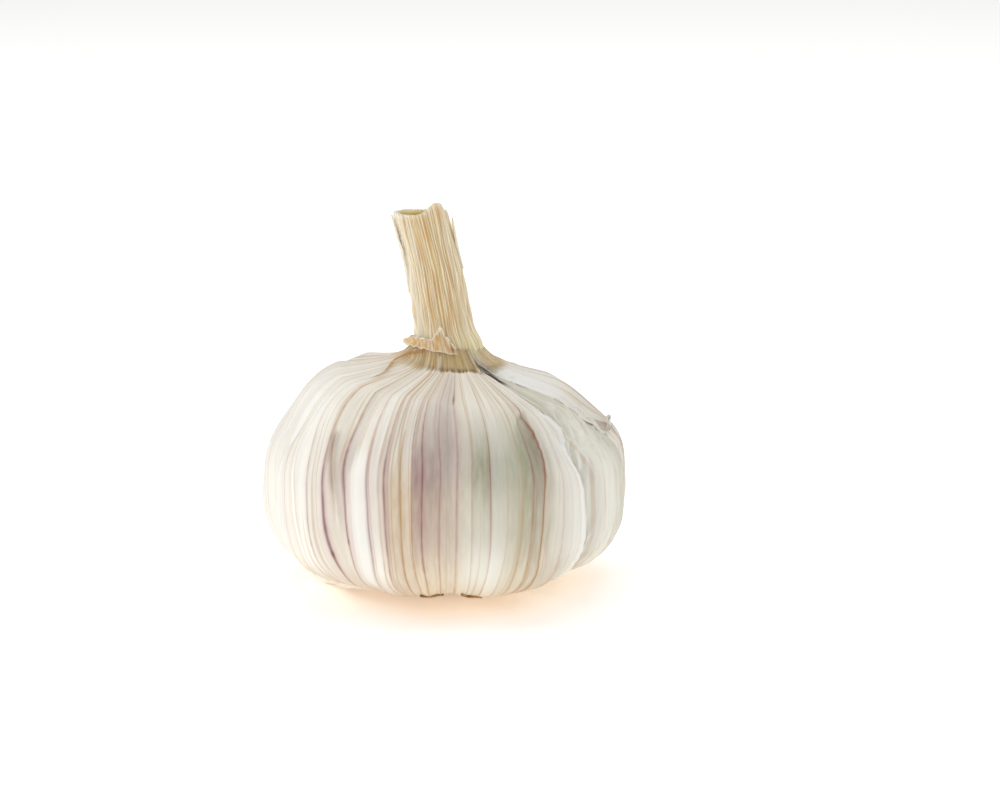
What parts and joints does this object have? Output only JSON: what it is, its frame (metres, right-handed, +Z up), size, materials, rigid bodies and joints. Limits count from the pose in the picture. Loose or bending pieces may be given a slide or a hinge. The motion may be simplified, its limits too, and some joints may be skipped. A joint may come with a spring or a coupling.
{
  "type": "garlic bulb",
  "caption": "Whole dried garlic bulb with a torn papery outer skin over swollen cloves, a cut leaning neck and a root plate to stand on.",
  "frame": {"origin": "middle of the flat spot under the root plate that the bulb rests on", "axes": "+Z up towards the neck, -Y towards the side that the picture shows, +X to that side's right"},
  "size_m": [0.0596, 0.0595, 0.0623],
  "materials": {
    "inner_skin": "smooth greenish white membrane with faint tan veins and long wrinkles",
    "outer_skin": "dry papery skin, cream white with fine purple veins that turn tan towards the roots",
    "neck": "dry straw-tan fibrous sheath with fine lengthwise ribs",
    "collar": "torn dry sheath, tan with pale ragged edges",
    "root_plate": "corky brown plate with trimmed root stubs"
  },
  "bodies": {
    "root": {"cloves_in_inner_skin": "inner_skin", "outer_skin": "outer_skin", "neck": "neck", "torn_collar": "collar", "root_plate": "root_plate"}
  },
  "joints": []
}
